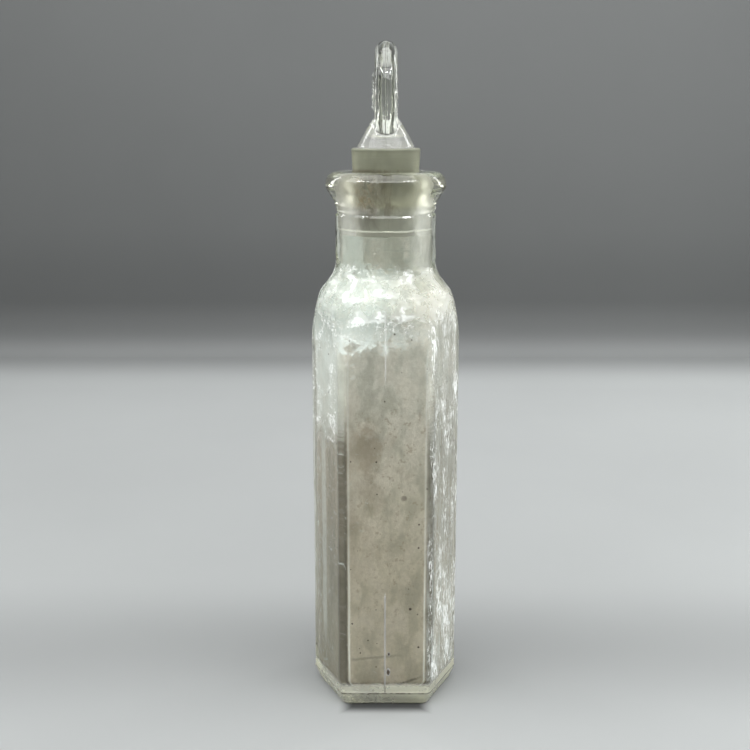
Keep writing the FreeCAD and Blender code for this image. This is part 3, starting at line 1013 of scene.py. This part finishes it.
def board_material(name, tint, stops, upright):
    """Matt painted board, with painted light: darker with distance or height, lighter to +X, faintly
    mottled.
    """
    material, tree = new_material(name)
    place = add(tree, "ShaderNodeTexCoord").outputs["Object"]
    x, y, z = split(place)
    wide, deep = calc("ABSOLUTE", x), calc("ABSOLUTE", y)
    reach = z if upright else calc("SMOOTH_MAX", wide, deep, 0.1)
    mottle = follow("ShaderNodeTexNoise", {"Vector": place, "Scale": 9.0, "Detail": 4.0}).outputs["Fac"]
    # the mottle, times painted light that brightens the boards towards +X
    bright = product(straight(mottle, 0.0, 1.0, 0.94, 1.06), straight(x, -0.2, 0.2, 0.91, 1.11))
    grey = by_distance(reach, stops)
    if upright:
        # only the wall behind the bottle is grey, the others are pale
        grey = blend(between(y, 0.22, 0.40, 1.0, 0.0), grey, (0.5, 0.5, 0.5, 1.0))
    else:
        # painted shade: a faint broad darker band across the board, level with the bottle
        painted_shade_band = between(away(y, 0.014), 0.0, 0.05, 0.78, 1.0)
        # painted shadow: a dark band painted on the board, only along the front of the foot,
        # where the heel's contact shadow falls
        ahead = scaled(y, -1.0, -0.0138)
        band = between(ahead, 0.0018, 0.0058, 0.16, 1.0)
        mark = most(band, between(wide, 0.007, 0.0118), straight(ahead, -0.001, -0.004))
        bright = product(bright, painted_shade_band, mark)
    tone = add(tree, "ShaderNodeVectorMath", {0: grey, 1: tint}, operation="MULTIPLY").outputs[0]
    final = add(tree, "ShaderNodeVectorMath", {0: tone, "Scale": bright}, operation="SCALE").outputs[0]
    surface = add(tree, "ShaderNodeBsdfPrincipled",
                  {"Base Color": final, "Roughness": 0.7, "Specular IOR Level": 0.2})
    add(tree, "ShaderNodeOutputMaterial", {"Surface": surface.outputs[0]})
    return material


def cove_ring(half, z, around):
    """One level of the studio's cove: a square with well rounded corners."""
    turn = np.linspace(0.0, math.tau, around, endpoint=False)
    c, s = np.cos(turn), np.sin(turn)
    radius = half / (np.abs(c) ** 8 + np.abs(s) ** 8) ** (1 / 8)
    return [(r * x, r * y, z) for r, x, y in zip(radius, c, s)]


def stage_piece(name, rings, material):
    """A stage surface from rings of points."""
    around = len(rings[0])
    points = [p for ring in rings for p in ring]
    faces = []
    for i in range(len(rings) - 1):
        for j in range(around):
            k = (j + 1) % around
            faces.append((i * around + j, (i + 1) * around + j, (i + 1) * around + k, i * around + k))
    piece = mesh_piece(name, points, faces)
    piece.data.materials.append(material)


def soft_box(name, place, aim, width, height, power):
    """A rectangular studio light aimed at a place, hidden from the camera."""
    light = bpy.data.lights.new(name, "AREA")
    light.shape = "RECTANGLE"
    light.size, light.size_y, light.energy = width, height, power
    lamp = bpy.data.objects.new(name, light)
    lamp.location = place
    lamp.rotation_euler = (Vector(aim) - Vector(place)).to_track_quat("-Z", "Y").to_euler()
    lamp.visible_camera = False
    bpy.context.scene.collection.objects.link(lamp)


class DROPPER_OT_make_stage(bpy.types.Operator):
    """Make the table, the backdrop, the lights and the camera"""

    bl_idname = "dropper.make_stage"
    bl_label = "Make stage"

    def execute(self, context):
        scene = context.scene
        setup = scene.bottle_stage
        finish = scene.bottle_finish
        depth, around = setup.table_depth, 192
        table = [cove_ring(r, 0.0, around) for r in np.linspace(0.0005, depth, 24)]
        board = board_material("board_matt_pale", finish.floor, FLOOR_GREYS, False)
        stage_piece("table_top", table, board)
        bend, tall = 0.03, 0.36
        rise = [cove_ring(depth + bend * math.sin(t), bend * (1 - math.cos(t)), around)
                for t in np.linspace(0, math.pi / 2, 9)]
        rise += [cove_ring(depth + bend, z, around) for z in np.linspace(bend + 0.02, tall, 12)]
        paper = board_material("paper_matt_grey", finish.backdrop, WALL_GREYS, True)
        stage_piece("backdrop", rise, paper)
        for name, (place, aim, wide, high, share) in SOFT_BOXES.items():
            soft_box(name, place, (0, 0, aim), wide, high, setup.light * share)
        world = bpy.data.worlds.new("studio_air")
        world.use_nodes = True
        back = world.node_tree.nodes["Background"]
        back.inputs["Color"].default_value = linear("#F2F6F8")
        back.inputs["Strength"].default_value = 1.1
        scene.world = world
        camera = bpy.data.objects.new("camera", bpy.data.cameras.new("camera"))
        camera.data.sensor_width = 36.0
        camera.data.lens = setup.lens
        camera.data.clip_start = 0.01
        camera.location = (-setup.camera_side, -setup.camera_distance, setup.camera_height)
        camera.rotation_euler = Euler((math.pi / 2 - setup.camera_pitch, 0.0, 0.0))
        scene.collection.objects.link(camera)
        scene.camera = camera
        scene.view_settings.view_transform = "Standard"
        return {"FINISHED"}


class DROPPER_PT_panel(bpy.types.Panel):
    """Buttons that build the bottle piece by piece"""

    bl_idname = "DROPPER_PT_panel"
    bl_label = "Dropper bottle"
    bl_space_type = "VIEW_3D"
    bl_region_type = "UI"
    bl_category = "Bottle"

    def draw(self, context):
        for operator in OPERATORS:
            self.layout.operator(operator.bl_idname)


OPERATORS = (DROPPER_OT_make_stage, DROPPER_OT_make_bottle, DROPPER_OT_make_stopper)
GROUPS = {
    "bottle_sizes": BottleSizes,
    "stopper_sizes": StopperSizes,
    "bottle_finish": FinishColours,
    "bottle_stage": StageSettings,
}


def register():
    for group in GROUPS.values():
        bpy.utils.register_class(group)
    for name, group in GROUPS.items():
        setattr(bpy.types.Scene, name, bpy.props.PointerProperty(type=group))
    for operator in OPERATORS:
        bpy.utils.register_class(operator)
    bpy.utils.register_class(DROPPER_PT_panel)


def unregister():
    bpy.utils.unregister_class(DROPPER_PT_panel)
    for operator in reversed(OPERATORS):
        bpy.utils.unregister_class(operator)
    for name, group in GROUPS.items():
        delattr(bpy.types.Scene, name)
        bpy.utils.unregister_class(group)


def main():
    register()
    bpy.ops.dropper.make_stage()
    bpy.ops.dropper.make_bottle()
    bpy.ops.dropper.make_stopper()


if __name__ == "__main__":
    main()
